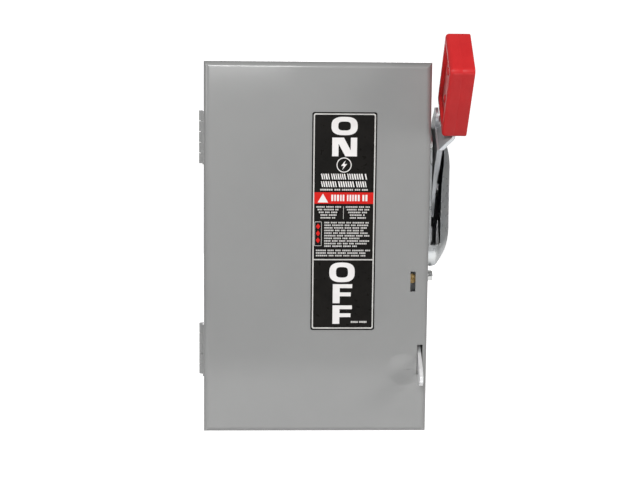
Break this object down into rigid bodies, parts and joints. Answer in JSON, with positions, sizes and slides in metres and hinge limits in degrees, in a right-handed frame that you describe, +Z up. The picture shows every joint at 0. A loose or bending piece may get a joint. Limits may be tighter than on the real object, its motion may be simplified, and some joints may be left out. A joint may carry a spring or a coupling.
{
  "type": "safety disconnect switch",
  "caption": "Wall-mounted grey steel safety disconnect switch box with hinged door, red side handle, plated handle guard, door latch and fused knife-blade interior.",
  "frame": {"origin": "centre of the four wall-mounting holes, on the back face of the box", "axes": "+Y into the wall, +Z up, +X to the right of a person facing the door; the door's front faces -Y"},
  "size_m": [0.2519, 0.1759, 0.3824],
  "materials": {
    "grey_paint": "semi-gloss baked enamel",
    "label_print": "printed vinyl",
    "zinc_plate": "bright zinc plate",
    "steel": "plated",
    "red_plastic": "moulded, satin gloss",
    "brass": "machined",
    "copper": "bare copper alloy",
    "black_moulding": "moulded phenolic",
    "fibre": "vulcanised fibre",
    "fuse_tube": "glazed paper tube",
    "white_moulding": "moulded",
    "aluminium_bar": "extruded",
    "clear_sheet": "clear polycarbonate",
    "spring_wire": "oiled spring wire"
  },
  "bodies": {
    "enclosure": {"arc_shields": "fibre", "base_screws": "steel", "bolt_spacer": "steel", "bottom_end_wall": "grey_paint", "bracket_bolt": "steel", "bracket_screws": "steel", "crossbar_support": "zinc_plate", "drive_springs": "spring_wire", "enclosure_wrap": "grey_paint", "fuse_base": "black_moulding", "fuse_bodies": "fuse_tube", "fuse_ferrules": "brass", "ground_bar": "aluminium_bar", "ground_screws": "steel", "guard_screws": "steel", "handle_guard": "zinc_plate", "hinge_pins": "steel", "interlock_pin": "steel", "latch_strike": "zinc_plate", "line_base": "black_moulding", "line_jaws": "copper", "line_saddles": "steel", "line_shield": "clear_sheet", "line_terminal_screws": "steel", "load_jaws": "copper", "load_saddles": "steel", "load_terminal_screws": "steel", "lower_fuse_clips": "copper", "lower_hinge_box_leaf": "grey_paint", "mechanism_bracket": "zinc_plate", "neutral_bar": "aluminium_bar", "neutral_insulators": "white_moulding", "neutral_screws": "steel", "shaft_bushing": "brass", "shield_screws": "steel", "top_end_wall": "grey_paint", "upper_fuse_clips": "copper", "upper_hinge_box_leaf": "grey_paint"},
    "door": {"door_pan": "grey_paint", "label_plate": "label_print", "interlock_strike": "zinc_plate", "upper_hinge_door_leaf": "grey_paint", "lower_hinge_door_leaf": "grey_paint", "latch_bracket": "zinc_plate", "latch_pin": "steel", "latch_spring": "spring_wire"},
    "handle": {"handle_arm": "zinc_plate", "handle_grip": "red_plastic", "grip_rivets": "red_plastic", "handle_shaft": "steel", "shaft_nut": "steel", "drive_cam": "zinc_plate"},
    "crossbar": {"crossbar": "black_moulding", "moving_blades": "copper", "crossbar_lever": "zinc_plate"},
    "latch": {"latch_hook": "zinc_plate"},
    "interlock": {"interlock_lever": "zinc_plate"},
    "defeater": {"defeater_screw": "brass"}
  },
  "joints": [
    {"name": "door_hinge", "type": "hinge", "parent": "enclosure", "child": "door", "pos_m": [-0.109, -0.1095, 0], "axis": [0, 0, -1], "range_deg": [0, 115]},
    {"name": "handle_throw", "type": "hinge", "parent": "enclosure", "child": "handle", "pos_m": [0.1145, -0.054, 0.05], "axis": [1, 0, 0], "range_deg": [0, 72]},
    {"name": "crossbar_turn", "type": "hinge", "parent": "enclosure", "child": "crossbar", "pos_m": [0, -0.054, 0.05], "axis": [1, 0, 0], "range_deg": [0, 54]},
    {"name": "interlock_swing", "type": "hinge", "parent": "enclosure", "child": "interlock", "pos_m": [0.09625, -0.08, 0.012], "axis": [1, 0, 0], "range_deg": [0, 10.8]},
    {"name": "latch_turn", "type": "hinge", "parent": "door", "child": "latch", "pos_m": [0.09965, -0.112, -0.098], "axis": [-1, 0, 0], "range_deg": [0, 16], "stiffness_Nm_per_rad": 0.08, "springref_deg": -20.05},
    {"name": "defeater_turn", "type": "hinge", "parent": "enclosure", "child": "defeater", "pos_m": [0.09215, -0.11, -0.029], "axis": [0, 1, 0], "range_deg": [0, 90]}
  ],
  "couplings": [
    {"joint": "crossbar_turn", "follows": "handle_throw", "ratio": 0.75},
    {"joint": "interlock_swing", "follows": "handle_throw", "ratio": 0.15}
  ]
}
